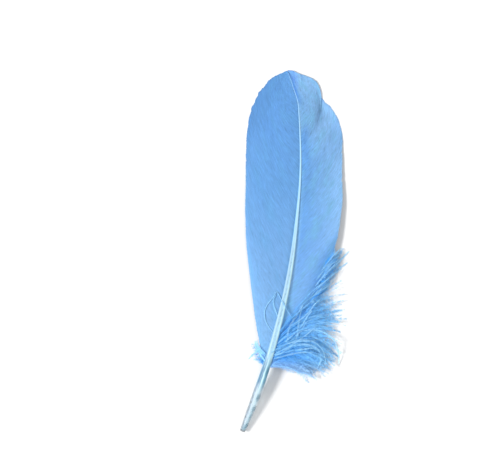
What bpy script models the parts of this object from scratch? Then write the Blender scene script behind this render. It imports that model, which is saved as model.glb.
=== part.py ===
# A goose quill feather, dyed, lying on its belly with the arched back of its shaft up.
# It grew as one piece, so it is one solid: a quill that is hollow up to its vanes, a shaft that
# bends and tapers on to the tip, a vane on each side of it, down at the foot of the vanes and
# loose barbs along the lower edge of the right-hand one.
# It is drawn from the cut end of the quill: y runs to the tip, x to the right-hand vane and z
# up. Then the middle of its box is set over the origin. Metres, +Z up.

import bmesh
import bpy
import numpy as np

MM = 0.001

VANE_FOOT = 36               # mm from the cut end of the quill to where the vanes start
SHAFT_TIP = 178.8            # mm; the last barbs reach 180
BOX_MIDDLE = (13.2, 89.9)    # mm; goes over the origin

# Stations along the feather: (distance from the cut end, value), in millimetres or degrees.
SHAFT_SIDEWAYS = ((0, 0), (20, 4.7), (45, 8.8), (75, 11.7), (108, 12.3), (133, 11), (150, 8.5),
                  (164, 4.9), (178.8, -1.1))
SHAFT_HEIGHT = ((0, 1.36), (10, 2.9), (20, 4.3), (35, 6.1), (50, 7.4), (75, 8.7), (100, 8.7),
                (125, 7.2), (150, 4.5), (165, 2.5), (178.8, 0.9))
SHAFT_RADIUS = ((0, 1.3), (6, 1.65), (13, 1.98), (20, 2.1), (28, 2.02), (36, 1.88), (50, 1.7),
                (72, 1.4), (98, 0.98), (122, 0.72), (150, 0.5), (178.8, 0.34))
HOLLOW_RADIUS = ((0, 0.95), (6, 1.3), (13, 1.6), (20, 1.7), (27, 1.2), (31, 0.3))
BARB_ANGLE = ((36, 52), (50, 42), (70, 36), (100, 32.5), (130, 31.5), (150, 29), (162, 24),
              (170, 17), (178.8, 6))       # degrees from the shaft's own direction
LEFT_REACH = ((36, 5), (45, 18.5), (60, 40), (80, 50.6), (100, 53), (120, 47.8), (140, 35.6),
              (160, 19.2), (170, 9.6), (178.8, 0.9))             # from a barb's root to its end
RIGHT_REACH = ((36, 2), (42, 7), (50, 18), (70, 33), (85, 36.6), (105, 35.4), (130, 31.8),
               (150, 23.5), (160, 18.2), (170, 10), (178.8, 1.2))
LEFT_END_HEIGHT = ((36, 4.5), (50, 3.8), (70, 2.8), (88, 1.2), (102, -0.8), (125, -2.8),
                   (158, -2), (178.8, 0))            # of a barb's end; under 0 it is pressed flat
RIGHT_END_HEIGHT = ((36, 4.5), (50, 3.6), (70, 3), (90, 1.5), (105, -0.6), (128, -2.8),
                    (158, -2), (178.8, 0))

BARB_BOW = 0.12              # how far a barb swells out from its chord, as a share of the chord
DROOP = 1.35                 # over 1, a vane leaves the shaft level and falls off to its edge
VANE_LEVEL = 0.2             # of the vanes above the shaft's middle, as a share of its radius
VANE_THICKNESS = 0.5         # mm
BUNDLE_RIDGE = 0.11          # mm; every other bundle of barbs stands up by this and the rest sink
SPLIT_ROOT = 146.5           # mm; past it the right-hand vane lies over the rest as a flap
SPLIT_STEP = 0.6             # mm, at the flap's edge
VANE_ROWS, VANE_COLUMNS = 60, 14

SQUARENESS = 0.08            # of the shaft above the vanes' foot
BELLY_GROOVE = 0.3           # depth of the groove under the shaft, as a share of its radius
SHAFT_RINGS, HOLLOW_RINGS, SHAFT_SIDES = 40, 8, 12

LOCK_POINTS = 7
DOWN_RIGHT = {"count": 16, "roots": (34.5, 52), "reach": 33, "start": (100, 52), "turn": (30, 12)}
DOWN_LEFT = {"count": 8, "roots": (34.5, 42.5), "reach": 12, "start": (96, 56), "turn": (46, 30)}
LOOSE_BARBS = {"count": 16, "roots": (45, 76), "reach": (28, 17), "start": 54, "turn": -6,
               "along": 0.62}              # along: where a lock leaves its barb, root 0 to end 1

BLUE = (0.16, 0.41, 0.81, 1.0)


def through(stations, distance):
    """The value at a distance along the feather, on a smooth curve through its stations."""
    at, value = np.array(stations, float).T
    slope = np.gradient(value, at)
    i = int(np.clip(np.searchsorted(at, distance) - 1, 0, len(at) - 2))
    gap = at[i + 1] - at[i]
    u = np.clip((distance - at[i]) / gap, 0, 1)
    level = value[i] * (1 + 2 * u) * (1 - u) ** 2 + value[i + 1] * u * u * (3 - 2 * u)
    return level + gap * u * (1 - u) * (slope[i] * (1 - u) - slope[i + 1] * u)


def shaft_middle(y):
    """The middle of the shaft at y mm from the cut end."""
    return np.array((through(SHAFT_SIDEWAYS, y), y, through(SHAFT_HEIGHT, y)))


def shaft_forward(y):
    """Unit direction of the shaft there, towards the tip."""
    run = shaft_middle(min(y + 0.5, SHAFT_TIP)) - shaft_middle(max(y - 0.5, 0))
    return run / np.linalg.norm(run)


def shaft_lean(y):
    """How far the shaft leans to the right there, seen from above, in radians."""
    forward = shaft_forward(y)
    return np.arctan2(forward[0], forward[1])


def towards(angle):
    """Unit direction seen from above, at an angle clockwise from +Y."""
    return np.array((np.sin(angle), np.cos(angle)))


def vane_point(root, across):
    """A point under the vanes, in mm: on the barb that grows at root, where across is -1 at the
    end of the left-hand barb, 0 at the shaft and 1 at the end of the right-hand barb."""
    side, s = (1 if across > 0 else -1), abs(across)
    reach = through(RIGHT_REACH if side > 0 else LEFT_REACH, root)
    end_height = through(RIGHT_END_HEIGHT if side > 0 else LEFT_END_HEIGHT, root)
    angle = shaft_lean(root) + side * np.radians(through(BARB_ANGLE, root))
    start = shaft_middle(root) + (0, 0, VANE_LEVEL * through(SHAFT_RADIUS, root))
    bow = 2 * s * (1 - s) * BARB_BOW
    outward = towards(angle + side * np.pi / 2)
    x, y = start[:2] + reach * (s * towards(angle) + bow * outward)
    return x, y, start[2] + (end_height - start[2]) * s ** DROOP


def mesh_object(name, bm):
    bmesh.ops.recalc_face_normals(bm, faces=bm.faces)
    mesh = bpy.data.meshes.new(name)
    bm.to_mesh(mesh)
    bm.free()
    return bpy.data.objects.new(name, mesh)


def make_vanes():
    """Both vanes as one arched sheet: a grid whose rows are bundles of barbs, thickened up."""
    bm = bmesh.new()
    bmesh.ops.create_grid(bm, x_segments=VANE_COLUMNS, y_segments=VANE_ROWS, size=1)
    for vert in bm.verts:
        along, across = (vert.co.y + 1) / 2, vert.co.x
        root = VANE_FOOT + (SHAFT_TIP - VANE_FOOT) * along
        x, y, z = vane_point(root, across)
        bundle = 1 if round(along * VANE_ROWS) % 2 else -1
        z += bundle * BUNDLE_RIDGE * abs(across) ** 0.5 * np.clip(z / 2, 0, 1)
        if across > 0 and root > SPLIT_ROOT:
            z += SPLIT_STEP * across ** 2
        vert.co = (x * MM, y * MM, max(z, 0) * MM)   # a vane that meets the surface lies on it
    vanes = mesh_object("vanes", bm)
    sheet = vanes.modifiers.new("thickness", "SOLIDIFY")
    sheet.thickness = VANE_THICKNESS * MM
    sheet.offset = 1
    return vanes


def shaft_point(y, radius, turn):
    """A point of the shaft's skin. The quill is round. Past the vanes' foot the shaft grows
    squarer and has a groove along its belly."""
    forward = shaft_forward(y)
    right = np.cross(forward, (0, 0, 1))
    right /= np.linalg.norm(right)
    up = np.cross(right, forward)
    shaped = np.clip((y - VANE_FOOT + 4) / 20, 0, 1)
    belly = max(-np.sin(turn), 0) ** 12
    skin = radius * (1 - shaped * (SQUARENESS * np.cos(4 * turn) + BELLY_GROOVE * belly))
    return (shaft_middle(y) + skin * (np.cos(turn) * right + np.sin(turn) * up)) * MM


def make_shaft():
    """The shaft as one skin: from the bottom of the hollow in the quill out to the cut rim, and
    back over the outside to the tip."""
    hollow_end = HOLLOW_RADIUS[-1][0]
    rings = [(y, through(HOLLOW_RADIUS, y)) for y in np.linspace(hollow_end, 0, HOLLOW_RINGS)]
    rings += [(y, through(SHAFT_RADIUS, y)) for y in np.linspace(0, SHAFT_TIP, SHAFT_RINGS)]
    turns = np.arange(SHAFT_SIDES) * 2 * np.pi / SHAFT_SIDES
    bm = bmesh.new()
    skin = [[bm.verts.new(shaft_point(y, radius, turn)) for turn in turns] for y, radius in rings]
    for ring, following in zip(skin, skin[1:]):
        for i in range(SHAFT_SIDES):
            j = (i + 1) % SHAFT_SIDES
            bm.faces.new((ring[i], ring[j], following[j], following[i]))
    bm.faces.new(skin[0])
    bm.faces.new(reversed(skin[-1]))
    return mesh_object("feather", bm)


def make_lock(name, start, heading, turn, reach, half_width, fall=1.5):
    """A lock: a tapering strand that leaves start at a heading in degrees clockwise from +Y,
    turns by turn on its way, and falls until its end lies on the surface."""
    curve = bpy.data.curves.new(name, "CURVE")
    curve.dimensions = "3D"
    curve.bevel_depth = half_width * MM
    curve.bevel_resolution = 0
    curve.use_fill_caps = True
    strand = curve.splines.new("POLY")
    strand.points.add(LOCK_POINTS - 1)
    place = np.array(start[:2])
    for i, point in enumerate(strand.points):
        u = i / (LOCK_POINTS - 1)
        point.radius = 0.4 + 0.6 * np.sin(np.pi * min(u + 0.1, 1)) ** 0.8
        height = max(start[2] * (1 - u) ** fall, half_width * point.radius)
        point.co = (place[0] * MM, place[1] * MM, height * MM, 1)
        place += towards(np.radians(heading + turn * u)) * reach / (LOCK_POINTS - 1)
    return bpy.data.objects.new(name, curve)


def down_locks(name, side, down):
    """Locks of down in two layers at the foot of one vane, the lowest standing straight out."""
    locks = []
    for i in range(down["count"]):
        f = i / (down["count"] - 1)
        root = np.interp(f, (0, 1), down["roots"])
        start = np.interp(f, (0, 1), down["start"])
        turn = np.interp(f, (0, 1), down["turn"]) + 7 * np.sin(i * 1.3)
        deep = 1.1 if i % 2 else 0.4          # below the shaft's middle
        locks.append(make_lock(
            f"{name}_{i}", shaft_middle(root) - (0, 0, deep),
            heading=np.degrees(shaft_lean(root)) + side * start, turn=-side * turn,
            reach=down["reach"] * (0.82 + 0.18 * np.sin(np.pi * f) + 0.06 * np.sin(i * 2.4)),
            half_width=0.95, fall=1 + 0.6 * deep))
    return locks


def loose_barbs():
    """Locks of loose barbs that leave the lower edge of the right-hand vane and stand away."""
    locks = []
    for i in range(LOOSE_BARBS["count"]):
        f = i / (LOOSE_BARBS["count"] - 1)
        root = np.interp(f, (0, 1), LOOSE_BARBS["roots"])
        x, y, z = vane_point(root, LOOSE_BARBS["along"])
        locks.append(make_lock(
            f"loose_barbs_{i}", (x, y, z + VANE_THICKNESS / 2),
            heading=LOOSE_BARBS["start"] + 5 * np.sin(i * 2.1), turn=LOOSE_BARBS["turn"],
            reach=np.interp(f, (0, 1), LOOSE_BARBS["reach"]) * (1 + 0.1 * np.sin(i * 1.7)),
            half_width=0.75))
    return locks


def as_mesh(obj):
    """The object's evaluated shape as a plain mesh object, with the caps of a curve welded."""
    bpy.context.view_layer.update()
    shape = obj.evaluated_get(bpy.context.evaluated_depsgraph_get())
    mesh = bpy.data.meshes.new_from_object(shape)
    bm = bmesh.new()
    bm.from_mesh(mesh)
    bmesh.ops.remove_doubles(bm, verts=bm.verts, dist=0.001 * MM)
    made = mesh_object(obj.name + "_solid", bm)
    made.matrix_world = obj.matrix_world
    bpy.data.meshes.remove(mesh)
    bpy.data.objects.remove(obj)
    return made


def dyed_blue():
    blue = bpy.data.materials.new("dyed_blue")
    blue.use_nodes = True
    shader = blue.node_tree.nodes["Principled BSDF"]
    shader.inputs["Base Color"].default_value = BLUE
    shader.inputs["Roughness"].default_value = 0.55
    shader.inputs["Metallic"].default_value = 0.0
    blue.diffuse_color = BLUE
    return blue


def new_collection(name):
    made = bpy.data.collections.new(name)
    bpy.context.scene.collection.children.link(made)
    return made


def main():
    for obj in list(bpy.data.objects):
        bpy.data.objects.remove(obj)
    parts = new_collection("goose_quill_feather")
    growths = new_collection("growths_of_the_shaft")

    feather = make_shaft()
    feather.data.materials.append(dyed_blue())
    parts.objects.link(feather)
    grown = [make_vanes(), *down_locks("down_right", 1, DOWN_RIGHT),
             *down_locks("down_left", -1, DOWN_LEFT), *loose_barbs()]
    for growth in grown:
        growths.objects.link(growth)
        solid = as_mesh(growth)
        growths.objects.link(solid)
        solid.hide_render = True
        solid.display_type = "WIRE"

    joined = feather.modifiers.new("grown_together", "BOOLEAN")
    joined.operation = "UNION"
    joined.operand_type = "COLLECTION"
    joined.collection = growths
    joined.solver = "EXACT"
    for obj in (feather, *growths.objects):
        obj.location = (-BOX_MIDDLE[0] * MM, -BOX_MIDDLE[1] * MM, 0)


main()
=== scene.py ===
import math

import bpy
import numpy as np
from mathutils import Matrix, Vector


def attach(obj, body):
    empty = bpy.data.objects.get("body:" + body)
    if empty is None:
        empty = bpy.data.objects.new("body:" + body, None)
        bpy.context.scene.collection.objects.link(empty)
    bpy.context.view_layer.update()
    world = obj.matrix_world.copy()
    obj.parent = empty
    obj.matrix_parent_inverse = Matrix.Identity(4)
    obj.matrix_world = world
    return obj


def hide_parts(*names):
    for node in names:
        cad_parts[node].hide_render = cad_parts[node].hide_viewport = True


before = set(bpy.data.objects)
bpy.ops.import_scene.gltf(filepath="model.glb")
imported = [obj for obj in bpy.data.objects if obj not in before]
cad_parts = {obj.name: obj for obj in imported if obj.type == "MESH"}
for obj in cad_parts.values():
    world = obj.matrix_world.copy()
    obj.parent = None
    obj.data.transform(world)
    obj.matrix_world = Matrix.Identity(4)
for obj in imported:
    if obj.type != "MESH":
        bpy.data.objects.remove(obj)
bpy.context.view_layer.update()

mm = 0.001  # in metres

# The feather is worked out in millimetres from the cut end of its quill: x to the right-hand
# vane, y to the tip, z up. boxMiddle is the point of it that lies over the frame's origin.
boxMiddle = (13.2, 89.9)

# stations along the feather, each (distance from the cut end, value)
form = {
    "sideways": ((0, 0), (20, 4.7), (45, 9.1), (75, 12.15), (108, 12.5), (133, 11), (150, 8.5),
                 (158, 7.0), (165, 5.45), (171, 2.7), (178.8, -1.1)),
    "height": ((0, 1.36), (10, 2.9), (20, 4.3), (35, 6.1), (50, 7.4), (75, 8.7), (100, 8.7),
               (125, 7.2), (150, 4.5), (165, 2.5), (178.8, 0.9)),
    "vaneFoot": 36,  # where the first barbs leave the shaft
    "tip": 178.8,  # where the last ones do
    "length": 180,  # from the cut end to the end of those
}


def through(stations, at):  # a smooth value between stations
    where, value = np.array(stations, float).T
    at = np.asarray(at, float)
    slope = np.gradient(value, where)
    i = np.clip(np.searchsorted(where, at) - 1, 0, len(where) - 2)
    gap = where[i + 1] - where[i]
    u = np.clip((at - where[i]) / gap, 0, 1)
    level = value[i] * (1 + 2 * u) * (1 - u) ** 2 + value[i + 1] * u * u * (3 - 2 * u)
    return level + gap * u * (1 - u) * (slope[i] * (1 - u) - slope[i + 1] * u)


def shaftMiddle(y):
    y = np.asarray(y, float)
    return np.stack((through(form["sideways"], y), y, through(form["height"], y)), -1)


def shaftForward(y):  # unit direction towards the tip
    step = 0.5  # mm either side of y
    ahead, behind = np.minimum(np.add(y, step), form["tip"]), np.maximum(np.subtract(y, step), 0)
    return unit(shaftMiddle(ahead) - shaftMiddle(behind))


def shaftLean(y):  # to the right, seen from above, in radians
    forward = shaftForward(y)
    return np.arctan2(forward[..., 0], forward[..., 1])


def unit(vectors):
    return vectors / np.maximum(np.linalg.norm(vectors, axis=-1, keepdims=True), 1e-9)


def towards(angle):  # unit direction seen from above, clockwise from +Y
    return np.stack((np.sin(angle), np.cos(angle), np.zeros_like(angle)), -1)


def smooth(low, high, value):
    u = np.clip((value - low) / (high - low), 0, 1)
    return u * u * (3 - 2 * u)


def drift(count, period, rng):  # a value that wanders from one strand to the next
    knots = rng.normal(0, 1, int(count / period) + 4)
    at = np.arange(count) / period + rng.random()
    i = at.astype(int)
    u = smooth(0, 1, at - i)
    return knots[i] * (1 - u) + knots[i + 1] * u


class Field:  # a socket in a material, so that maths on it reads as Python
    def __init__(self, paint, socket):
        self.paint, self.socket = paint, socket

    def maths(self, operation, *values):
        return self.paint.add("ShaderNodeMath", {"operation": operation}, *values)

    def __add__(self, other):
        return self.maths("ADD", self, other)

    def __sub__(self, other):
        return self.maths("SUBTRACT", self, other)

    def __rsub__(self, other):
        return self.maths("SUBTRACT", other, self)

    def __mul__(self, other):
        return self.maths("MULTIPLY", self, other)

    def __truediv__(self, other):
        return self.maths("DIVIDE", self, other)

    __radd__ = __add__
    __rmul__ = __mul__


class Paint:  # a material being mixed
    def __init__(self, name, colour, **values):
        self.material = bpy.data.materials.new(name)
        self.material.use_nodes = True
        self.material.diffuse_color = (*colour, 1)
        self.nodes = self.material.node_tree.nodes
        self.links = self.material.node_tree.links
        self.shader = self.nodes["Principled BSDF"]
        self.set("Base Color", (*colour, 1))
        for socket, value in values.items():
            self.set(socket, value)

    def feed(self, target, value):  # a link or a plain value into a socket
        if isinstance(value, Field):
            self.links.new(value.socket, target)
        else:
            target.default_value = value

    def set(self, name, value):
        self.feed(self.shader.inputs[name], value)

    def add(self, kind, settings, *values, out=0, **named):  # a node with its settings and inputs
        node = self.nodes.new(kind)
        for key, value in settings.items():
            if key == "stops":
                ramp = node.color_ramp
                while len(ramp.elements) < len(value):
                    ramp.elements.new(1)
                for element, (position, colour) in zip(ramp.elements, value):
                    element.position, element.color = position, (*colour, 1)
            else:
                setattr(node, key, value)
        for number, value in enumerate(values):
            self.feed(node.inputs[number], value)
        for key, value in named.items():
            self.feed(node.inputs[int(key) if key.isdigit() else key], value)
        return Field(self, node.outputs[out])

    def attribute(self, name):
        return self.add("ShaderNodeAttribute", {"attribute_name": name}, out="Fac")

    def objectPoint(self):
        return self.add("ShaderNodeTexCoord", {}, out="Object")

    def fromCutEnd(self):  # mm towards the tip
        return self.add("ShaderNodeSeparateXYZ", {}, self.objectPoint(), out="Y") * (1 / mm) + boxMiddle[1]

    def ramp(self, factor, *stops):
        return self.add("ShaderNodeValToRGB", {"stops": stops}, factor)

    def band(self, value, low, high):  # 0 up to low, 1 from high on
        return self.add("ShaderNodeMapRange", {"interpolation_type": "SMOOTHSTEP"}, value, low, high)

    def between(self, value, low, high, fade):  # 1 between low and high, fading to 0 just inside them
        return self.band(value, low, low + fade) * (1 - self.band(value, high - fade, high))

    def spot(self, value, middle, reach):  # 1 at the middle, 0 from reach on
        away = self.add("ShaderNodeMath", {"operation": "ABSOLUTE"}, value - middle)
        return 1 - self.band(away, 0.0, reach)

    def noise(self, vector, detail, roughness=0.5, scale=1.0):
        return self.add("ShaderNodeTexNoise", {}, Vector=vector, Scale=scale, Detail=detail,
                        Roughness=roughness)

    def vector(self, x, y, z):
        return self.add("ShaderNodeCombineXYZ", {}, x, y, z)

    def mix(self, factor, first, second, blend="MIX"):  # 6, 7 and 2 are this node's colour sockets
        ends = [(*end, 1) if isinstance(end, tuple) else end for end in (first, second)]
        return self.add("ShaderNodeMix", {"data_type": "RGBA", "blend_type": blend}, factor,
                        out=2, **{"6": ends[0], "7": ends[1]})

    def brighten(self, colour, amount):  # amount: a field round 1
        return self.add("ShaderNodeVectorMath", {"operation": "SCALE"}, colour, Scale=amount)

    def bump(self, height, strength, distance):
        return self.add("ShaderNodeBump", {}, Strength=strength, Distance=distance * mm, Height=height)


def dye(red, green, blue, share=1.0):  # an sRGB colour of 0 to 255 as the linear one that a shader takes
    channels = np.array((red, green, blue)) / 255
    linear = np.where(channels <= 0.04045, channels / 12.92, ((channels + 0.055) / 1.055) ** 2.4)
    return tuple(float(channel) for channel in linear * share)


def stops(rows, share=1.0):  # a ramp's (place, red, green, blue) with their colours made linear
    return [(place, dye(*colour, share)) for place, *colour in rows]


def shown(name, data):  # a new object in the scene
    obj = bpy.data.objects.new(name, data)
    bpy.context.scene.collection.objects.link(obj)
    return obj


def piece(name, vertices, faces, material, values):
    # vertices (..., 3) in mm, and for each key of values a number or array that fits their shape
    mesh = bpy.data.meshes.new(name)
    points = np.asarray(vertices, float).reshape(-1, 3)
    mesh.from_pydata((points - (*boxMiddle, 0)) * mm, [], faces)
    for key, value in values.items():
        each = np.broadcast_to(value, np.shape(vertices)[:-1])
        layer = mesh.attributes.new(key, "FLOAT", "POINT")
        layer.data.foreach_set("value", each.astype(np.float32).ravel())
    flat = mesh.uv_layers.new(name="OFBake")  # the piece seen from above
    margin = 0.01
    corner = np.empty(len(mesh.loops), np.int32)
    mesh.loops.foreach_get("vertex_index", corner)
    plan = points[:, :2]
    low, high = plan.min(0), plan.max(0)
    plan = (plan - low) / (high - low) * (1 - 2 * margin) + margin
    flat.data.foreach_set("uv", plan[corner].astype(np.float32).ravel())
    mesh.polygons.foreach_set("use_smooth", np.ones(len(mesh.polygons), bool))
    mesh.materials.append(material)
    mesh.update()
    obj = shown(name, mesh)
    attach(obj, "root")
    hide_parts("feather")
    print(name, len(mesh.polygons), "faces")
    return obj


def ringFaces(strands, rings, around):  # quads round many tubes that each have so many rings
    ring = np.arange(rings - 1)[:, None] * around
    a = ring + np.arange(around)
    b = ring + (np.arange(around) + 1) % around
    one = np.stack((a, b, b + around, a + around), -1).reshape(-1, 4)
    return (one[None] + (np.arange(strands) * rings * around)[:, None, None]).reshape(-1, 4)


def barbRings(paths, across, width):
    # the corners of each barb: paths and across, towards the next barb, are (barbs, steps, 3)
    along = unit(np.gradient(paths, axis=1))
    sideways = unit(across - (across * along).sum(-1, keepdims=True) * along)
    up = np.cross(sideways, along)
    up *= np.where(up[..., 2:] < 0, -1, 1)
    thin = np.clip(width / vanes["thinBelow"], vanes["thinnest"], 1)[..., None]
    return np.stack([paths + sideways * (share * width)[..., None] + up * rise * thin
                     for share, rise in vanes["section"]], 2)


shaft = {
    "radius": ((0, 1.3), (6, 1.65), (13, 1.98), (20, 2.1), (28, 2.04), (36, 1.95), (50, 1.82),
               (72, 1.5), (98, 1.02), (122, 0.6), (150, 0.34), (165, 0.16), (178.8, 0.06)),
    "hollow": ((0, 0.95), (6, 1.3), (13, 1.6), (20, 1.7), (27, 1.2), (31, 0.3)),
    "rings": 420, "hollowRings": 60, "around": 28,
    "shaped": (32, 56),  # mm along it: its round section turns to one with four soft corners
    "flatter": 0.07,  # its four sides lie this much further in, as a share of its radius
    "groove": 0.3,  # how deep the groove in its belly is, as a share of its radius
    "grooveSharp": 8,  # higher: narrower
}
vanes = {
    "barbSpacing": 0.34,  # mm along the shaft
    "steps": 24,
    "endFrom": 0.985,  # the share of a barb's run from which it narrows to its end
    "bow": ((36, 0.12), (122, 0.12), (143, 0.21), (178.8, 0.16)),  # from its chord, as a share of it
    "level": 0.28,  # above the shaft's middle, as a share of its radius
    "angle": ((36, 52), (50, 42), (70, 35), (100, 30.5), (118, 26.5), (135, 24), (150, 23.5),
              (162, 23), (170, 19), (178.8, 8)),
    "section": ((-0.5, -0.03), (-0.1, 0.045), (0.5, -0.02), (0, -0.06)),  # (share of width, mm up)
    "overlap": 1.55,  # a barb's width, as a share of its distance from the next
    "endWidth": 0.4,  # at its end, as a share of that
    "narrowest": 0.05,  # mm
    "thinBelow": 0.2,  # mm: a narrower barb is thinner too
    "thinnest": 0.15,  # down to this share of its thickness
    "floor": 0.1,  # mm: no barb lies lower
    "landing": 4,  # how suddenly a barb levels out on the surface
    "swell": 0.15,  # mm: how far the ends of barbs rise and sink together
    "foldOver": 0.7,  # mm along the shaft in which a fold rises
    "foldBend": 3,  # higher: it rises further out on the barbs
}
# how one barb differs from the next
uneven = {
    "swells": 50,  # barbs from one rise of the ends to the next
    "bundle": (6, 18),  # barbs that are hooked together, at least and at most
    "endDrift": 0.004, "endDriftOver": 5,  # a share of a barb's length, over how many barbs
    "end": 0.003,  # the same, each barb alone
    "raggedEnd": 0.05,  # where the vane is ragged
    "bundleTurn": 0.03,  # degrees at the end
    "turn": 0.02, "raggedTurn": 0.6,  # the same, each barb alone
    "liftDrift": 0.004, "liftDriftOver": 7,  # mm at the end, over how many barbs
    "bundleLift": 0.003,  # mm at the end
    "bundleShade": 0.6, "shade": 0.6,
}
left = {
    "side": -1, "seed": 4,
    "droop": 1.35,  # over 1: it falls faster towards its edge
    "reach": ((36, 5), (45, 18.8), (60, 41.6), (68, 48.7), (80, 54.4), (92, 57.3), (104, 58.3),
              (112, 57.6), (120, 53.8), (132, 45.1), (144, 35.8), (160, 21.3), (165.5, 16.1), (170, 11.1),
              (178.8, 1.2)),
    "endHeight": ((36, 4.5), (50, 3.8), (70, 2.8), (86, 1.2), (99, -0.8), (118, -2.8),
                  (158, -2), (178.8, 0)),
    "ragged": ((36, 0.6), (48, 0), (178.8, 0)),  # how uneven the barbs' ends are
    "notches": ((111, 0.4, 0.5), (85.5, 0.6, 0.5), (62.5, 0.6, 0.6)),  # (root, spread, depth), in mm
    "folds": (),
}
right = {
    "side": 1, "seed": 9,
    "droop": 1.12,
    "reach": ((36, 3), (42, 8), (50, 18), (60, 27.5), (72, 34.9), (84, 38.2), (100, 38.8), (108, 40),
              (116, 40.8), (124, 38.7), (132, 34.6), (138, 30.2), (142, 27.9), (147, 26.8), (152, 24.5),
              (160, 18.1), (165.5, 13.3), (170, 9.9), (178.8, 1.3)),
    "endHeight": ((36, 4.5), (50, 3.6), (70, 3), (88, 1.7), (102, 0.9), (113, 0.2), (124, -0.9),
                  (158, -0.9), (178.8, 0)),
    "ragged": ((36, 0.9), (60, 0.7), (71, 0.15), (77, 0), (178.8, 0)),
    "notches": ((97, 0.9, 0.9), (108, 0.5, 0.4)),
    "folds": ((142.5, 0.55), (165.5, 0.25)),  # (root, mm): the barbs past here lie that much higher
}


def vaneBarbs(half):  # the barbs' middle lines, their corners, and a piece's values
    rng = np.random.default_rng(half["seed"])
    count = int((form["tip"] - form["vaneFoot"]) / vanes["barbSpacing"])
    roots = np.linspace(form["vaneFoot"], form["tip"], count)
    s = np.append(np.linspace(0, vanes["endFrom"], vanes["steps"] - 1), 1)[None, :]
    swell = drift(count, uneven["swells"], rng)
    combed = combedBarbs(half, roots, s, swell)
    across = np.gradient(combed, axis=0)
    along = unit(np.gradient(combed, axis=1))
    across -= (across * along).sum(-1, keepdims=True) * along
    gap = np.linalg.norm(across, axis=-1)

    fewest, most = uneven["bundle"]
    bundle = np.repeat(np.arange(count), rng.integers(fewest, most + 1, count))[:count]
    bundleShade, bundleTilt = rng.normal(0, 1, count)[bundle], rng.normal(0, 1, count)[bundle]
    ragged = np.interp(roots, *np.transpose(half["ragged"]))
    stretch = 1 + uneven["endDrift"] * drift(count, uneven["endDriftOver"], rng)
    stretch += rng.normal(0, uneven["end"], count)
    for root, spread, depth in half["notches"]:
        stretch -= depth / through(half["reach"], roots) * np.exp(-((roots - root) / spread) ** 2)
    stretch += ragged * rng.normal(0, uneven["raggedEnd"], count)
    turn = (uneven["turn"] + uneven["raggedTurn"] * ragged) * rng.normal(0, 1, count)
    swing = np.radians(uneven["bundleTurn"] * bundleTilt + turn)
    paths = combedBarbs(half, roots, s * stretch[:, None], swell)
    paths = bent(paths, swing[:, None] * half["side"] * s)
    lift = uneven["liftDrift"] * drift(count, uneven["liftDriftOver"], rng)
    lift += uneven["bundleLift"] * bundleTilt
    paths[..., 2] += s * lift[:, None]
    paths[..., 2] = np.maximum(paths[..., 2], vanes["floor"])

    width = gap * vanes["overlap"] * np.where(s == 1, vanes["endWidth"], 1)
    shade = uneven["bundleShade"] * bundleShade + uneven["shade"] * rng.normal(0, 1, count)
    values = {"reach": s[..., None], "root": roots[:, None, None],
              "strand": np.arange(count)[:, None, None], "shade": shade[:, None, None]}
    return paths, barbRings(paths, across, np.maximum(width, vanes["narrowest"])), values


def bent(paths, swing):  # paths turned clockwise, seen from above, by swing at each point
    runs = turned(np.diff(paths, axis=1), (swing[:, 1:] + swing[:, :-1]) / 2)
    paths = paths.copy()
    paths[:, 1:, :2] = paths[:, :1, :2] + np.cumsum(runs, axis=1)[..., :2]
    return paths


def combedBarbs(half, roots, s, swell):  # where each barb would lie if all were hooked, (barbs, steps, 3)
    side = half["side"]
    heading = shaftLean(roots) + side * np.radians(through(vanes["angle"], roots))
    forward, outward = towards(heading), towards(heading + side * np.pi / 2)
    reach = through(half["reach"], roots)[:, None]
    bow = through(vanes["bow"], roots)[:, None]
    start = shaftMiddle(roots)
    start[:, 2] += vanes["level"] * through(shaft["radius"], roots)
    paths = (start[:, None] + (reach * s)[..., None] * forward[:, None]
             + (reach * 2 * s * (1 - s) * bow)[..., None] * outward[:, None])
    end = through(half["endHeight"], roots)[:, None]
    height = start[:, 2:] + (end - start[:, 2:]) * s ** half["droop"] + vanes["swell"] * s * swell[:, None]
    over = (height - vanes["floor"]) * vanes["landing"]
    paths[..., 2] = vanes["floor"] + np.logaddexp(0, over) / vanes["landing"]  # lies down softly
    for root, lift in half["folds"]:
        rise = lift * smooth(root, root + vanes["foldOver"], roots)
        paths[..., 2] += rise[:, None] * s ** vanes["foldBend"]
    return paths


def turned(vectors, angle):  # vectors turned clockwise seen from above
    x, y, z = np.moveaxis(vectors, -1, 0)
    return np.stack((x * np.cos(angle) + y * np.sin(angle), y * np.cos(angle) - x * np.sin(angle), z), -1)


# what both vanes share: heights are shares of the feather's length, reaches are shares of a barb's,
# and fades are in mm along the shaft
vaneFinish = {
    "roughness": 0.65, "rougher": 0.35, "shader": {"Specular IOR Level": 0.2},
    "bump": (0.5, 0.06),  # strength, mm
    "edgeLightReach": (0.55, 1.0), "edgeLightHeight": (0.75, 0.84),  # where the painted light along the vane's edge comes in and ends
    "frayedFade": 12.0, "frayedReach": 0.85,
    "shaftShadeHeight": (0.5, 0.72),  # where the painted shade beside the shaft fades
    "innerHeight": (0.34, 0.6), "innerTip": (0.8, 0.87), "innerTipLoss": 0.5,
    "hemFade": 3.0, "hemEdge": 0.01,
    "footShadeFade": 8.0, "footShadeFull": 0.3,  # full up to this share of its reach
    "coarserHeight": (0.5, 0.85),
    "darkTicks": (0.3, 0.44), "paleTicks": (0.56, 0.7), "patchLevels": (0.45, 0.7),
    "shade": 0.015,  # how far one barb differs from the next
}
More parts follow.
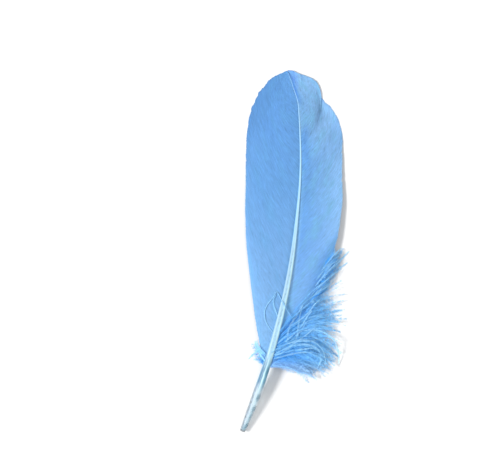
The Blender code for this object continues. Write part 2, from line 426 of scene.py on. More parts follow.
# noises drawn out along the barbs: (how fine across them, along them, seed, detail, roughness)
vaneGrain = {
    "streaks": (0.2, 2.0, 0.0, 3.0, 0.6), "dashes": (0.42, 9.0, 5.0, 2.0, 0.6),
    "ticks": (0.36, 12.0, 7.0, 1.0, 0.5), "patches": (0.04, 4.0, 9.0, 3.0, 0.6),
    "barbules": (0.7, 60.0, 2.0, 2.0, 0.6),
}


def vaneColour(paint, look, root, reach, height):  # all but its grain
    finish = vaneFinish

    def tinted(under, share, tint):
        return paint.mix(share, under, dye(*tint, look["exposure"]))

    colour = paint.ramp(height, *stops(look["stops"], look["exposure"]))
    # painted light: the vane's edge made paler, against the shade where it slopes down
    rim = paint.band(reach, *finish["edgeLightReach"]) * (1 - paint.band(height, *finish["edgeLightHeight"]))
    colour = tinted(colour, rim * look["rim"], look["edge"])
    for low, high, soft, tint, share in look["groups"]:
        group = paint.between(root, low - soft, high + soft, 2 * soft)
        colour = tinted(colour, group * share, tint)
    for to, start, tint, share in look["frayed"]:
        frayed = 1 - paint.band(root, to - finish["frayedFade"], to)
        frayed = frayed * paint.band(reach, start, finish["frayedReach"])
        colour = tinted(colour, frayed * share, tint)
    # painted shadows along the folds
    for middle, spread, start, tint, share in look["foldShadows"]:
        foldShadow = paint.spot(root, middle, spread) * paint.band(reach, start, 1.0)
        colour = tinted(colour, foldShadow * share, tint)
    # painted shadow beside the shaft; on the right-hand vane painted light against the shaft's shadow
    share, to, tint, fades = look["shaftShade"]
    shaftShade = (1 - paint.band(reach, 0.0, to)) * (1 - paint.band(height, *finish["shaftShadeHeight"]) * fades)
    colour = tinted(colour, shaftShade * share, tint)
    # the colour multiplied beside the shaft: on the right-hand vane a painted shade
    to, tint = look["inner"]
    inner = paint.band(height, *finish["innerHeight"])
    inner = inner - paint.band(height, *finish["innerTip"]) * finish["innerTipLoss"]
    colour = paint.mix(inner * (1 - paint.band(reach, 0.0, to)), colour, tint, "MULTIPLY")
    for low, high, start, tint, share in look["hems"]:
        hem = paint.between(root, low, high, finish["hemFade"]) * share
        colour = tinted(colour, hem * paint.band(reach, start, start + finish["hemEdge"]), tint)
    # painted shade on the feet of barbs
    for low, high, to, tint, share in look["footShades"]:
        hollow = paint.between(root, low, high, finish["footShadeFade"]) * share
        hollow = hollow * (1 - paint.band(reach, to * finish["footShadeFull"], to))
        colour = tinted(colour, hollow, tint)
    return colour


def vaneMaterial(name, look):
    finish, exposure = vaneFinish, look["exposure"]
    plain = stops(look["stops"], exposure)[1][1]
    paint = Paint(name, plain, Roughness=finish["roughness"], **finish["shader"])
    reach, strand = paint.attribute("reach"), paint.attribute("strand")
    height = paint.fromCutEnd() / form["length"]
    colour = vaneColour(paint, look, paint.attribute("root"), reach, height)
    streaks, dashes, ticks, patches, barbules = (
        paint.noise(paint.vector(strand * across, reach * along, seed), detail, roughness)
        for across, along, seed, detail, roughness in vaneGrain.values())
    darkTicks = 1 - paint.band(ticks, *finish["darkTicks"])
    ticks = paint.band(ticks, *finish["paleTicks"]) - darkTicks
    grain = (streaks - 0.5) * look["streaks"] + (dashes - 0.5) * look["dashes"] + ticks * look["ticks"]
    grain = grain * (1 + paint.band(height, *finish["coarserHeight"]) * look["coarser"])
    patches = paint.band(patches, *finish["patchLevels"]) * look["patches"]
    colour = paint.mix(patches, colour, dye(*look["patch"], exposure))
    amount = 1 + grain + paint.attribute("shade") * finish["shade"]
    paint.set("Base Color", paint.brighten(colour, amount))
    paint.set("Roughness", finish["roughness"] + (dashes - 0.5) * finish["rougher"])
    paint.set("Normal", paint.bump(barbules, *finish["bump"]))
    return paint.material


def makeVane(name, half, look):
    paths, rings, values = vaneBarbs(half)
    piece(name, rings, ringFaces(*rings.shape[:3]), vaneMaterial(name + "_blue", look), values)
    return paths


leftLook = {
    "exposure": 0.71,  # a share of the colours given here: the lights make up for the rest
    "stops": ((0.28, 139, 192, 243), (0.38, 135, 188, 242),
              (0.5, 128, 183, 240), (0.67, 114, 174, 235),
              (0.83, 109, 169, 233), (0.95, 107, 167, 230)),
    "edge": (128, 184, 242), "rim": 0.3,
    "streaks": 0.16, "dashes": 0.42, "ticks": 0.085, "coarser": 0.3,
    # paler ends: (root from, to, from this share of the barb on, colour, share)
    "hems": ((34, 84, 0.978, (176, 222, 252), 0.8),),
    "patch": (112, 180, 232), "patches": 0.4,
    # a painted shadow beside the shaft: its share, how far out, its colour, how much it fades towards the tip
    "shaftShade": (0.65, 0.09, (96, 150, 200), 0.5),
    # how far out from the shaft, and how the colour changes beside it
    "inner": (0.2, (1.06, 1.04, 1.02)),
    "groups": (), "frayed": (), "foldShadows": (), "footShades": (),  # none on this side
}
rightLook = {
    "exposure": 0.71 * 1.3,  # this vane slopes away from the light, so it is painted lighter: painted light against its shade
    # greyer and paler than the left vane towards the tip: a painted sheen
    "stops": ((0.28, 118, 175, 236), (0.38, 129, 183, 238),
              (0.5, 132, 184, 241), (0.67, 134, 186, 237),
              (0.83, 138, 185, 231), (0.95, 136, 180, 226)),
    # a paler edge: painted light where the vane slopes down to the surface
    "edge": (153, 204, 253), "rim": 0.85,
    "streaks": 0.15, "dashes": 0.4, "ticks": 0.085, "coarser": 0.6,
    "hems": ((66, 113, 0.98, (184, 226, 252), 0.8),),
    # painted shade on the feet of barbs: (root from, to, up to this share of the barb, colour, share)
    "footShades": ((124, 154, 0.3, (88, 150, 224), 0.4),
                (160, 187, 0.3, (76, 136, 214), 0.7)),
    # bluer where the barbs have come apart: (root up to, from this share of the barb on, colour, share)
    "frayed": ((80, 0.3, (90, 152, 222), 0.8),),
    "patch": (122, 186, 222), "patches": 0.55,
    "shaftShade": (0.9, 0.14, (184, 228, 255), 0.85),  # here painted lighter, against the shadow that the shaft casts on it
    # painted shade: darker beside the shaft
    "inner": (0.7, (0.65, 0.79, 0.9)),
    # barbs painted another colour, the first band a painted shade: (root from, to, softness, colour, share)
    "groups": ((112, 127, 2.5, (122, 171, 222), 0.45),
               (143, 172, 3, (127, 173, 217), 0.8),
               (168, 171, 0.4, (120, 170, 236), 0.6),
               (171, 179, 0.4, (104, 154, 224), 0.9)),
    # painted shadows along the folds: (root, half width, from this share of the barb on, colour, share)
    "foldShadows": ((141.9, 0.9, 0.82, (50, 94, 172), 0.85),
                (165.3, 0.35, 0.45, (70, 118, 186), 0.8)),
}
leftPaths = makeVane("left_vane", left, leftLook)
rightPaths = makeVane("right_vane", right, rightLook)

anyPhase = (0, 6.3)  # radians: somewhere in a wave
down = {
    "steps": 26,
    "longest": 1.08,  # of the length of the guides that a strand lies between
    "tilt": 0.4,  # how far a whole strand turns, as a share of how far it strays
    "waves": (5, 13),  # radians of wave along a strand
    "rootHeight": (-0.9, 0.7),  # mm above the middle of the shaft
    "endHeight": 1.6,  # mm above the surface: how far the ends differ
    "arch": (-0.5, 1.8),  # mm half-way
    "fall": (0.7, 1.5),  # higher: it comes down later
    "raisedBy": 6,  # a raised strand is up after one part in this many of its run
    "lowest": 0.12,  # mm
    "hang": 0.35,  # how steeply a strand may come down off what it lies on
    "near": 0.8,  # mm sideways within which something is under a strand
    "shaftTop": (30, 178, 600),  # mm from and to, and at how many points, the shaft may be under one
}
# strands of down, drawn root to end, that the others lie between
rightGuides = (
    ((8.2, 33.3), (12, 34.8), (17, 35.4), (24, 34.6), (32, 33.2)),
    ((8.3, 34.4), (13, 37.4), (20, 39.6), (29, 39.4), (37, 37.0)),
    ((8.4, 36.0), (13.5, 40.6), (21, 43.6), (30, 43.6), (39.5, 39.8)),
    ((8.6, 38.2), (14, 43.6), (21.5, 47.8), (31, 48.6), (41, 44)),
    ((8.7, 40.8), (14, 46.5), (21, 51.8), (30, 54.4), (40.5, 53)),
    ((8.9, 43.6), (14, 49.5), (20.5, 56), (29, 61), (40, 63.5)),
    ((9.2, 47), (14, 53), (20, 60.5), (28, 67.5), (38.5, 73)),
    ((9.5, 50), (14, 57), (19.5, 65), (26, 73), (34.5, 81)),
)
leftGuides = (
    ((7.3, 33.6), (5.4, 35.0), (3.2, 35.8), (0.6, 35.8)),
    ((7.5, 35.0), (5.0, 37.4), (2.2, 38.9), (-1.4, 38.8)),
    ((7.7, 36.6), (5.2, 39.8), (2.4, 41.8), (-0.8, 43.4)),
    ((7.9, 38.5), (5.8, 42), (3.4, 45), (0.8, 48.4)),
)


def alongPoints(points, u):  # a smooth curve through listed points, at shares u of its run
    steps = np.linalg.norm(np.diff(points, axis=0), axis=1)
    stations = np.append(0, np.cumsum(steps)) / steps.sum()
    return np.stack([through(tuple(zip(stations, axis)), u) for axis in zip(*points)], -1)


def laidOn(drawn, under, clear):  # strands drawn from above, as they lie on the points under them
    u = np.linspace(0, 1, down["steps"])
    plan = np.stack([alongPoints(points, u) for points in drawn])
    away = np.linalg.norm(plan[:, :, None] - under[:, :2], axis=-1)
    height = np.where(away < down["near"], under[:, 2], 0).max(-1)
    drop = np.linalg.norm(np.diff(plan, axis=1), axis=-1) * down["hang"]
    for i in range(1, len(u)):
        height[:, i] = np.maximum(height[:, i], height[:, i - 1] - drop[:, i - 1])
    for i in range(len(u) - 2, -1, -1):
        height[:, i] = np.maximum(height[:, i], height[:, i + 1] - drop[:, i])
    return np.concatenate((plan, (height + clear)[..., None]), -1)


def strandsBetween(look, rng):  # paths of strands that lie between a piece's guides
    guides, count, stray = look["guides"], look["count"], look["stray"]
    u = np.linspace(0, 1, down["steps"])
    drawn = np.stack([alongPoints(guide, u) for guide in guides])
    pick = np.sort(rng.uniform(0, len(guides) - 1, count))
    i = np.minimum(pick.astype(int), len(guides) - 2)
    blend = (pick - i)[:, None, None]
    plan = drawn[i] * (1 - blend) + drawn[i + 1] * blend
    length = rng.uniform(look["shortest"], down["longest"], count)
    runs = np.diff(plan, axis=1) * length[:, None, None]
    runs = np.concatenate((runs, np.zeros_like(runs[..., :1])), -1)
    tilt = np.radians(rng.normal(0, down["tilt"] * stray, count))[:, None]
    bend = tilt + np.radians(rng.normal(0, stray, count))[:, None] * u[1:]
    wave = rng.uniform(*anyPhase, count)[:, None] + u[1:] * rng.uniform(*down["waves"], count)[:, None]
    runs = turned(runs, bend + np.radians(stray) * np.sin(wave) * u[1:])
    paths = np.zeros((count, down["steps"], 3))
    paths[:, 0, :2] = plan[:, 0]
    paths[:, 1:, :2] = plan[:, :1] + np.cumsum(runs, axis=1)[..., :2]
    root = shaftMiddle(plan[:, 0, 1])[:, 2] + rng.uniform(*down["rootHeight"], count)
    end = np.abs(rng.normal(0, down["endHeight"], count)) + down["lowest"]
    arch = rng.uniform(*down["arch"], count)[:, None] * np.sin(np.pi * u)
    fall = u ** rng.uniform(*down["fall"], count)[:, None]
    raised = look["raised"] * np.minimum(1, u * down["raisedBy"])
    paths[..., 2] = root[:, None] * (1 - fall) + end[:, None] * fall + arch + raised
    paths[..., 2] = np.maximum(paths[..., 2], down["lowest"])
    return paths


def spines(paths, widths):  # a thin three-sided barb along each path
    along = unit(np.gradient(paths, axis=1))
    sideways = unit(np.cross(along, (0, 0, 1)))
    up = np.cross(sideways, along)
    u = np.linspace(0, 1, paths.shape[1])
    radius = (widths[0] * (1 - u) + widths[1] * u)[None, :, None] / 2
    turns = np.radians((90, 210, 330))
    return np.stack([paths + radius * (np.cos(t) * sideways + np.sin(t) * up) for t in turns], 2)


def resample(paths, shares):  # points and directions at shares of each path, (strands, shares, 3)
    at = shares * (paths.shape[1] - 1)
    i = np.minimum(at.astype(int), paths.shape[1] - 2)
    blend = (at - i)[..., None]
    strand = np.arange(len(paths))[:, None]
    first, second = paths[strand, i], paths[strand, i + 1]
    return first * (1 - blend) + second * blend, unit(second - first)


hair = {
    "width": 0.07,  # mm
    "from": 0.04,  # the share of a strand's run where its hairs begin
    "lean": (48, 11),  # degrees from the strand, and how far they differ
    "roll": 0.5,  # radians up or down: how far they differ
    "sizes": (0.55, 1.15),  # shares of the length that the piece gives
    "taper": (0.16, 0.8, 0.6),  # they are shorter at both ends of a strand: half a wave's start, run, power
    "waistAt": 0.5,  # a share of its length
    "waist": 0.8,  # how wide it is there, as a share of its foot
    "curl": (0.0, 0.35),  # how far its end bends along the strand
    "lowest": 0.03,  # mm
    "fine": (0.3, 0.3, 0.6, 0.6, 1.0),  # how far out each of its corners is; a strand itself is 0
}


def barbules(paths, look, rng):
    # short hairs on both sides of every path: (strands * hairs * 2, 5 corners, 3) and where they are
    shares = np.sort(rng.uniform(hair["from"], 1, (len(paths), look["hairs"])), axis=1)
    foot, along = resample(paths, shares)
    sideways = unit(np.cross(along, (0, 0, 1)))
    up = np.cross(sideways, along)
    start, run, power = hair["taper"]
    taper = np.sin(np.pi * (start + shares * run)) ** power
    hairs = []
    for side in (-1, 1):
        lean = np.radians(rng.normal(*hair["lean"], shares.shape))[..., None]
        roll = rng.normal(0, hair["roll"], shares.shape)[..., None]
        out = side * np.cos(roll) * sideways + np.sin(roll) * up
        aim = np.cos(lean) * along + np.sin(lean) * out
        size = (look["length"] * taper * rng.uniform(*hair["sizes"], shares.shape))[..., None]
        middle = foot + aim * size * hair["waistAt"]
        tip = foot + aim * size + along * size * rng.uniform(*hair["curl"], shares.shape)[..., None]
        flat = unit(np.cross(aim, (0, 0, 1))) * hair["width"] / 2
        waist = flat * hair["waist"]
        strip = np.stack((foot - flat, foot + flat, middle - waist, middle + waist, tip), 2)
        strip[..., 2] = np.maximum(strip[..., 2], hair["lowest"])
        hairs.append(strip.reshape(-1, len(hair["fine"]), 3))
    return np.concatenate(hairs), np.tile(shares.ravel(), 2)


def fluff(name, paths, look, rng):  # barbs with their barbules, as one piece
    shade = rng.normal(0, look["shading"], len(paths))
    rings = spines(paths, look["widths"])
    strips, stripReach = barbules(paths, look, rng)
    spineCorners, hairCorners = rings[..., 0].size, strips.shape[1]
    base = spineCorners + np.arange(len(strips))[:, None] * hairCorners
    quads = base + np.array((0, 1, 3, 2))
    ends = base + np.array((2, 3, 4))
    faces = ringFaces(*rings.shape[:3]).tolist() + quads.tolist() + ends.tolist()
    points = np.concatenate((rings.reshape(-1, 3), strips.reshape(-1, 3)))
    spineReach = np.broadcast_to(np.linspace(0, 1, paths.shape[1])[None, :, None], rings.shape[:3])
    spineShade = np.broadcast_to(shade[:, None, None], rings.shape[:3])
    hairShade = np.tile(np.repeat(shade, look["hairs"]), 2)
    values = {
        "reach": np.concatenate((spineReach.ravel(), np.repeat(stripReach, hairCorners))),
        "shade": np.concatenate((spineShade.ravel(), np.repeat(hairShade, hairCorners))),
        "fine": np.concatenate((np.zeros(spineCorners), np.tile(hair["fine"], len(strips)))),
    }
    piece(name, points, faces, look["material"], values)


downFinish = {
    "roughness": 0.7, "rougher": 0.3, "shader": {"Specular IOR Level": 0.2},
    "middle": 0.35,  # the share of a strand's run that has its middle colour
    "spineEnds": 0.3,  # the strand's own colour gives way to its hairs' up to here
    "haze": (34.0, 39.5),  # mm from the cut end, between which the haze fades out
    "hazeColour": dye(176, 208, 240),
    "shade": 0.1,  # how far one strand differs from the next
    "crimp": 1400.0, "bump": (0.4, 0.04),  # how fine, then strength and mm
}


def downMaterial(name, deep, mid, pale, spine, haze=0.0):
    # colours at a strand's root, middle and end; spine: how far the strand is paler than its hairs;
    # haze: how far the lowest strands are paler
    finish = downFinish
    paint = Paint(name, mid, Roughness=finish["roughness"], **finish["shader"])
    reach, shade, fine = paint.attribute("reach"), paint.attribute("shade"), paint.attribute("fine")
    colour = paint.ramp(reach, (0.0, deep), (finish["middle"], mid), (1.0, pale))
    colour = paint.mix((1 - paint.band(fine, 0.0, finish["spineEnds"])) * spine, colour, pale)
    if haze:
        low = 1 - paint.band(paint.fromCutEnd(), *finish["haze"])
        colour = paint.mix(low * haze, colour, finish["hazeColour"])
    paint.set("Base Color", paint.brighten(colour, 1 + shade * finish["shade"]))
    crimp = paint.noise(paint.objectPoint(), 1.0, scale=finish["crimp"])
    paint.set("Roughness", finish["roughness"] + (crimp - 0.5) * finish["rougher"])
    paint.set("Normal", paint.bump(crimp, *finish["bump"]))
    return paint.material


downBlue = downMaterial("down_blue", dye(66, 154, 234), dye(84, 173, 248), dye(144, 212, 255), 0.3, 0.6)
strandBlue = downMaterial("strand_blue", dye(78, 162, 234), dye(100, 181, 244), dye(160, 220, 255), 0.4, 0.4)
fringeBlue = downMaterial("fringe_blue", dye(118, 184, 238), dye(140, 200, 246), dye(162, 216, 252), 0.3)
paleBlue = downMaterial("pale_blue", dye(136, 199, 246), dye(152, 210, 250), dye(168, 222, 254), 0.3)
# darker at the root than the other down: a painted shade where the down crowds at the foot of the shaft
footBlue = downMaterial("foot_blue", dye(36, 108, 182), dye(80, 154, 222), dye(124, 190, 240), 0.3)

# shortest: a share of the guides' length, raised: mm, stray: degrees, widths: mm at root and end,
# hairs: on each side of a strand, length: of a hair in mm, shading: how far strands differ
strand = {"widths": (0.16, 0.05), "shading": 1}
downPieces = {
    "down_under": dict(strand, guides=rightGuides, count=110, shortest=0.7, raised=-1.6, stray=6,
                       hairs=110, length=2.6, material=downBlue),
    "down_right": dict(strand, guides=rightGuides, count=220, shortest=0.5, raised=0, stray=9,
                       hairs=100, length=2.1, material=downBlue),
    "down_strands": dict(strand, guides=rightGuides, count=64, shortest=0.65, raised=0.9, stray=8,
                         widths=(0.26, 0.15), hairs=200, length=0.8, material=strandBlue),
    "down_left": dict(strand, guides=leftGuides, count=34, shortest=0.35, raised=0, stray=12,
                      hairs=26, length=1.6, material=footBlue),
}
rng = np.random.default_rng(21)
downPaths = {}
for name, look in downPieces.items():
    downPaths[name] = strandsBetween(look, rng)
    fluff(name, downPaths[name], look, rng)


def looseBarbs(half, look, rng):  # barbs that have come unhooked, from where they leave the vane
    count = look["count"]
    roots = np.sort(rng.uniform(*look["roots"], count))
    s = np.linspace(0, 1, look["steps"])[None, :]
    leaves = rng.uniform(*look["leaves"], count)[:, None]
    longer = rng.uniform(0, 1, count) ** look["fewLong"] * np.interp(roots, *np.transpose(look["longer"]))
    reach = 1 + (longer / through(half["reach"], roots))[:, None]
    paths = combedBarbs(half, roots, leaves + (reach - leaves) * s, np.zeros(count))
    turn = rng.normal(*look["turn"], count)[:, None]
    wave = rng.uniform(*anyPhase, count)[:, None] + s * rng.uniform(*look["waves"], count)[:, None]
    swing = np.radians(turn * smooth(*look["turnsOver"], s) + look["wave"] * np.sin(wave) * s) * half["side"]
    paths = bent(paths, swing)
    lift = rng.uniform(*look["lift"], count)[:, None]
    paths[..., 2] += look["clear"] + lift * s + look["arch"] * np.sin(np.pi * s)
    paths[..., 2] = np.maximum(paths[..., 2], look["clear"])
    return paths


loose = {
    "roots": (40, 68), "count": 110, "steps": 20,
    "leaves": (0.76, 0.98),  # the share of its run where a barb leaves the vane
    "longer": ((40, 8), (50, 14), (61, 15), (66, 8), (68, 2)),  # (root, mm past the vane's edge at most)
    "fewLong": 1.5,  # higher: fewer of them are so long
    "turn": (7, 9),  # degrees outwards, and how far they differ
    "turnsOver": (0.1, 0.7),  # the shares of the loose run between which it turns
    "wave": 8, "waves": (3, 9),  # degrees, and radians of wave along a barb
    "lift": (-0.5, 0.9),  # mm at the end
    "arch": 0.6, "clear": 0.12,  # mm half-way, and mm everywhere
    "widths": (0.27, 0.14), "hairs": 70, "length": 0.5, "shading": 1, "material": fringeBlue,
}
# bluer ones below them
looseUnder = dict(loose, count=100, turn=(5, 6), lift=(-1.6, -0.4), widths=strand["widths"], hairs=80,
                  length=1.7, material=downBlue)
fluff("loose_under", looseBarbs(right, looseUnder, rng), looseUnder, rng)
fluff("loose_barbs", looseBarbs(right, loose, rng), loose, rng)

# single strands that stand out, seen from above, root to end
plumes = {
    "widths": (0.4, 0.26), "hairs": 210, "length": 1.2, "shading": 0.6, "material": paleBlue,
    "clear": 0.35,  # mm above what they lie on
    "paths": (
        ((9.8, 38.9), (14.3, 41.8), (18.7, 46), (20.2, 49.6), (20.2, 54), (20.3, 60), (21, 65.9)),
        ((9.9, 40.8), (12.6, 43.4), (15.6, 46.6), (15.6, 52), (17, 57), (18.9, 60.9), (20.9, 65.6)),
        ((9.8, 39.6), (14, 43), (21, 46.2), (27.5, 46.8), (31.2, 45.3), (33.5, 42), (33.1, 38), (32.2, 35.8)),
        ((10.1, 44.4), (15, 49.6), (24, 53.8), (33.7, 53.7), (38.6, 50.7), (41.6, 45.4), (43, 38.9)),
        ((6.3, 39.4), (4.8, 40.5), (3.2, 41.8), (1.6, 43.1), (1.1, 45.4)),
        ((6.2, 38.6), (4.4, 39.8), (2.5, 41.2), (0.9, 42.6), (0.3, 44.8)),
        ((26, 79), (29, 84), (31.8, 89.6), (34.3, 93.3), (36.4, 96.1)),
        ((26, 76), (32.9, 86.3), (37.1, 90.7), (40.4, 95)),
        ((25, 72), (31.2, 79.6), (36.1, 85.2), (40.4, 89.4)),
    ),
}
strays = dict(plumes, widths=(0.46, 0.34), hairs=120, length=1.0, paths=(
    ((17.4, 58.6), (14.9, 60.9), (12.5, 64.2), (8.8, 69.2), (7.5, 71), (6.2, 68), (3.6, 63.6), (2.9, 60),
     (3.6, 56.8), (5.8, 53.2), (8.6, 50.4)),
    ((7.2, 69.4), (6.4, 66.2), (7.3, 63.3), (8.6, 60.6), (9.8, 58)),
    ((9, 41), (15, 45.5), (23, 49), (30.5, 47.9), (33.9, 45), (35.5, 41.4), (36, 39.5)),
    ((13, 43), (22.8, 55), (23.8, 57.5), (26.4, 59.6)),
    ((14, 46), (22.1, 56.2), (24, 60.6), (25.9, 63.4)),
    ((17, 55), (24.8, 63.2), (26.9, 67.1), (29.2, 69.6)),
    ((15, 43), (25.3, 52.1), (28.8, 55.9)),
    ((11, 44), (21.9, 48.1), (29.9, 49.2)),
    ((10.6, 40), (22.8, 44.2), (29, 45.6)),
    ((10.4, 38), (23, 42.6), (29, 43.4)),
    ((4, 41.4), (2.5, 40.8), (-0.3, 37.9), (-1.8, 35.8)),
    ((0.8, 41.4), (2.3, 40.3), (4.7, 37.8), (6.6, 36)),
    ((28, 84), (33.1, 89.9), (35.6, 92)),
    ((28, 79.6), (33, 85.2), (36, 87.8)),
))
shaftTop = shaftMiddle(np.linspace(*down["shaftTop"]))
shaftTop[:, 2] += through(shaft["radius"], shaftTop[:, 1])
under = np.concatenate([paths.reshape(-1, 3) for paths in
                        (leftPaths, rightPaths, shaftTop, downPaths["down_right"], downPaths["down_left"])])
for name, look in (("plumes", plumes), ("stray_barbs", strays)):
    fluff(name, laidOn(look["paths"], under, look["clear"]), look, rng)


def shaftRings():  # from the inner end of the hollow to the cut end, and on the outside to the tip
    turns = np.linspace(0, 2 * np.pi, shaft["around"], endpoint=False)[None, :]
    outside = np.linspace(0, form["tip"], shaft["rings"])
    inside = np.linspace(shaft["hollow"][-1][0], 0, shaft["hollowRings"])
    y = np.concatenate((inside, outside))
    radius = np.concatenate((through(shaft["hollow"], inside), through(shaft["radius"], outside)))
    outer = np.concatenate((np.zeros(len(inside)), np.ones(len(outside))))
    forward = shaftForward(y)
    sideways = unit(np.cross(forward, (0, 0, 1)))
    up = np.cross(sideways, forward)
    shaped = (smooth(*shaft["shaped"], y) * outer)[:, None]
    belly = np.maximum(-np.sin(turns), 0) ** shaft["grooveSharp"]
    skin = radius[:, None] * (1 - shaped * (shaft["flatter"] * np.cos(4 * turns) + shaft["groove"] * belly))
    points = (shaftMiddle(y)[:, None] + (skin * np.cos(turns))[..., None] * sideways[:, None]
              + (skin * np.sin(turns))[..., None] * up[:, None])
    return points, {"along": y[:, None], "turn": np.sin(turns), "lateral": np.cos(turns)}


# colours across the quill, from its left edge (0) to its right (1), each (place, red, green, blue), and
# the stretches in which one set gives way to the next, in mm along it. Besides the horn's colour they hold
# painted light: a painted highlight along the middle, painted shade at its left edge, and a right side
# painted lighter against the shade there
horn = {
    "bare": ((0.0, 136, 155, 170), (0.16, 161, 181, 201), (0.36, 197, 218, 229),
             (0.5, 211, 231, 242), (0.7, 216, 245, 255), (0.86, 227, 247, 255),
             (1.0, 240, 250, 255)),
    "teal": ((0.0, 140, 178, 200), (0.16, 66, 110, 142), (0.36, 58, 106, 140),
             (0.46, 164, 208, 226), (0.54, 226, 250, 255), (0.62, 172, 216, 232),
             (0.74, 124, 178, 204), (1.0, 126, 184, 208)),
    "lower": ((0.0, 112, 160, 196), (0.15, 136, 171, 196), (0.36, 150, 188, 208),
              (0.5, 150, 190, 216), (0.64, 164, 206, 232), (0.78, 206, 248, 255),
              (0.92, 226, 255, 255), (1.0, 172, 226, 246)),
    "upper": ((0.0, 128, 188, 228), (0.3, 150, 195, 226), (0.65, 172, 214, 238),
              (0.86, 176, 226, 252), (1.0, 140, 196, 232)),
    "tip": ((0.0, 132, 188, 236), (0.5, 178, 222, 252), (1.0, 132, 188, 236)),
    "changes": (("teal", 20, 27), ("lower", 31, 42), ("upper", 84, 112), ("tip", 150, 168)),
    # on its upper side: (mm along, reach, where it starts from -1 at the left to 1 at the right, share)
    "stains": ((18.2, 3.2, -0.1, 0.8), (12.2, 2.6, -0.1, 0.9), (8, 5, -0.1, 0.6), (3.4, 2.6, -0.1, 0.95),
               (2.2, 2.4, -0.9, 0.6), (32, 4, -0.1, 0.5)),
    "stain": dye(62, 130, 158), "fleck": dye(72, 84, 94), "rim": dye(66, 84, 100),
    "rimEnds": (0.4, 1.0),  # mm along: the dark rim of the cut end gives way
    # how see-through the wall of its hollow part is, and mm along where that ends
    "clear": 0.6, "clearFrom": 15, "clearTo": 28,
    "stainFade": 0.5,  # sideways
    "stainSide": (-0.7, 0.1),  # up its side, from -1 at the belly to 1 on top, between which they come in
    "stainBlotch": 1.2,  # how ragged their lower edge is
    # noises: how fine along it and round it, a seed, detail and roughness
    "waver": (0.16, 1.0, 3.0, 2.0, 0.5), "blotch": (0.35, 1.3, 6.0, 3.0, 0.6),
    "waverShift": 0.2, "blotchShift": 5.0,  # of the colours across it, and of the stretches in mm
    # noises: how fine along it, sideways and up it, detail and roughness
    "specks": (0.9, 2.4, 2.4, 3.0, 0.65), "fibre": (0.05, 9.0, 9.0, 2.0, 0.5),
    "speckLevels": (0.48, 0.58),
    # flecks at the left of the lower quill: mm along and sideways between which they end, and their share
    "lowFlecks": ((14.0, 26.0), (-0.75, -0.3), 0.9),
    # flecks along the middle of the shaft: mm between which they start and end, half width, share
    "bedFlecks": ((38.0, 46.0), (80.0, 120.0), 0.5, 0.35),
    "roughness": 0.45, "fibreRougher": 0.5,
    "fleckMarks": 0.2,  # how far flecks add to the roughness and the bump
    "bump": (0.5, 0.08),  # strength, mm
    "light": 0.98, "fibreLight": 0.3,  # how light the horn is, and how far its fibres differ
    "shader": {"Specular IOR Level": 0.35, "Coat Weight": 0.1, "Coat Roughness": 0.2},
    "plain": dye(178, 208, 226),  # where a viewer shows no nodes
}


def hornMaterial(name, clear):  # clear: how far the wall of the hollow part is see-through
    paint = Paint(name, horn["plain"], Roughness=horn["roughness"], **horn["shader"])
    along, lateral, turn = paint.attribute("along"), paint.attribute("lateral"), paint.attribute("turn")

    def seededNoise(fineAlong, fineRound, seed, detail, roughness):
        return paint.noise(paint.vector(along * fineAlong, turn * fineRound, seed), detail, roughness)

    def skinNoise(fineAlong, fineSideways, fineUp, detail, roughness):
        place = paint.vector(along * fineAlong, lateral * fineSideways, turn * fineUp)
        return paint.noise(place, detail, roughness)

    waver, blotch = seededNoise(*horn["waver"]) - 0.5, seededNoise(*horn["blotch"]) - 0.5
    across = lateral * 0.5 + 0.5 + waver * horn["waverShift"]  # 0 at the left, 1 at the right
    # the horn's colour across the quill, with painted highlight and painted shade in it
    body = paint.ramp(across, *stops(horn["bare"]))
    for stretch, start, end in horn["changes"]:
        given = paint.band(along + blotch * horn["blotchShift"], start, end)
        body = paint.mix(given, body, paint.ramp(across, *stops(horn[stretch])))
    upper = paint.band(turn + blotch * horn["stainBlotch"], *horn["stainSide"])
    for middle, reach, start, share in horn["stains"]:
        stain = paint.spot(along, middle, reach) * paint.band(lateral, start, start + horn["stainFade"])
        body = paint.mix(stain * upper * share, body, horn["stain"])
    specks, fibre = skinNoise(*horn["specks"]), skinNoise(*horn["fibre"])
    flecks = paint.band(specks, *horn["speckLevels"])
    alongEnds, leftEnds, lowShare = horn["lowFlecks"]
    low = (1 - paint.band(along, *alongEnds)) * (1 - paint.band(lateral, *leftEnds))
    bedStarts, bedEnds, halfWidth, bedShare = horn["bedFlecks"]
    bed = paint.band(along, *bedStarts) * (1 - paint.band(along, *bedEnds))
    bed = bed * paint.spot(lateral, 0.0, halfWidth)
    body = paint.mix(flecks * (low * lowShare + bed * bedShare), body, horn["fleck"])
    body = paint.mix(1 - paint.band(along, *horn["rimEnds"]), body, horn["rim"])
    paint.set("Base Color", paint.brighten(body, horn["light"] + (fibre - 0.5) * horn["fibreLight"]))
    marks = flecks * low * horn["fleckMarks"]
    paint.set("Roughness", horn["roughness"] + (fibre - 0.5) * horn["fibreRougher"] + marks)
    paint.set("Normal", paint.bump(fibre + marks, *horn["bump"]))
    if clear:
        paint.set("Alpha", 1 - (1 - paint.band(along, horn["clearFrom"], horn["clearTo"])) * clear)
    return paint.material


def makeShaft():
    points, values = shaftRings()
    rings, around = points.shape[:2]
    faces = ringFaces(1, rings, around).tolist()
    faces += [list(range(around)), list(range(rings * around - 1, (rings - 1) * around - 1, -1))]  # ends
    quill = piece("shaft", points, faces, hornMaterial("quill_horn", horn["clear"]), values)
    quill.data.materials.append(hornMaterial("shaft_horn", 0.0))
    solid = [int(points[face[0] // around, 0, 1] > horn["clearTo"]) for face in faces]
    quill.data.polygons.foreach_set("material_index", solid)


makeShaft()

stage = {
    "white": (0.78, 0.78, 0.78), "roughness": 0.9,
    "size": 6.0,  # metres
}


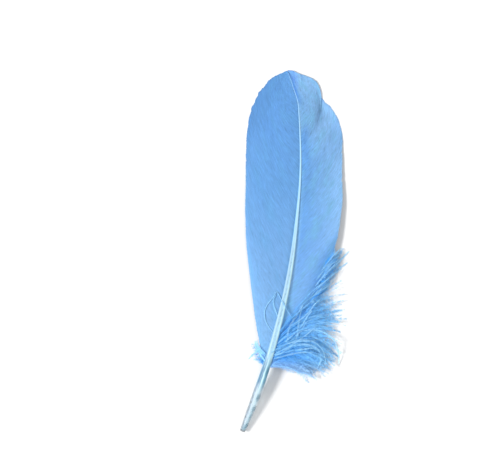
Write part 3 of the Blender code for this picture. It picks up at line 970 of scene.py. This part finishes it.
def makeFloor():
    half = stage["size"] / 2
    mesh = bpy.data.meshes.new("floor")
    corners = [(-half, -half, 0), (half, -half, 0), (half, half, 0), (-half, half, 0)]
    mesh.from_pydata(corners, [], [(0, 1, 2, 3)])
    mesh.materials.append(Paint("floor_white", stage["white"], Roughness=stage["roughness"]).material)
    floor = shown("floor", mesh)
    print("floor", stage["size"], "m wide")


# soft lights that point at the frame's origin: metres, watts
lights = {
    "key": {"place": (-1.5, -0.21, 1.25), "size": 0.5, "power": 45.0, "colour": (1.0, 0.985, 0.96)},
    "overhead": {"place": (0.1, 0.1, 1.5), "size": 1.6, "power": 10.0, "colour": (0.96, 0.98, 1.0)},
}
sky = {"colour": (0.93, 0.96, 1.0), "strength": 0.36}  # the same from all sides


def makeLights():
    for name, look in lights.items():
        light = bpy.data.lights.new(name, "AREA")
        light.shape, light.size = "DISK", look["size"]
        light.energy, light.color = look["power"], look["colour"]
        lamp = shown(name, light)
        lamp.location = look["place"]
        lamp.rotation_euler = Vector(look["place"]).to_track_quat("Z", "Y").to_euler()
        print("light", name, look["power"], "W")
    world = bpy.data.worlds.new("world")
    world.use_nodes = True
    background = world.node_tree.nodes["Background"]
    background.inputs["Color"].default_value = (*sky["colour"], 1)
    background.inputs["Strength"].default_value = sky["strength"]
    bpy.context.scene.world = world
    bpy.context.scene.view_settings.view_transform = "Standard"


photo = {
    "middle": (-9.035, 95.38),  # mm on the feather, under the photo's middle
    "width": 246.1,  # mm across the photo
    "level": 5,  # mm above the surface at which that width is seen
    "roll": 7.62,  # degrees the feather leans to the right in it
    "lens": 100.0, "sensor": 36.0,  # mm
}


def makeCamera():
    data = bpy.data.cameras.new("camera")
    data.lens, data.sensor_width = photo["lens"], photo["sensor"]
    camera = shown("camera", data)
    distance = photo["width"] * photo["lens"] / photo["sensor"]
    camera.location = np.subtract((*photo["middle"], distance + photo["level"]), (*boxMiddle, 0)) * mm
    camera.rotation_euler = (0, 0, math.radians(photo["roll"]))
    bpy.context.scene.camera = camera
    print("camera", round(distance), "mm from the feather")


makeFloor()
makeLights()
makeCamera()
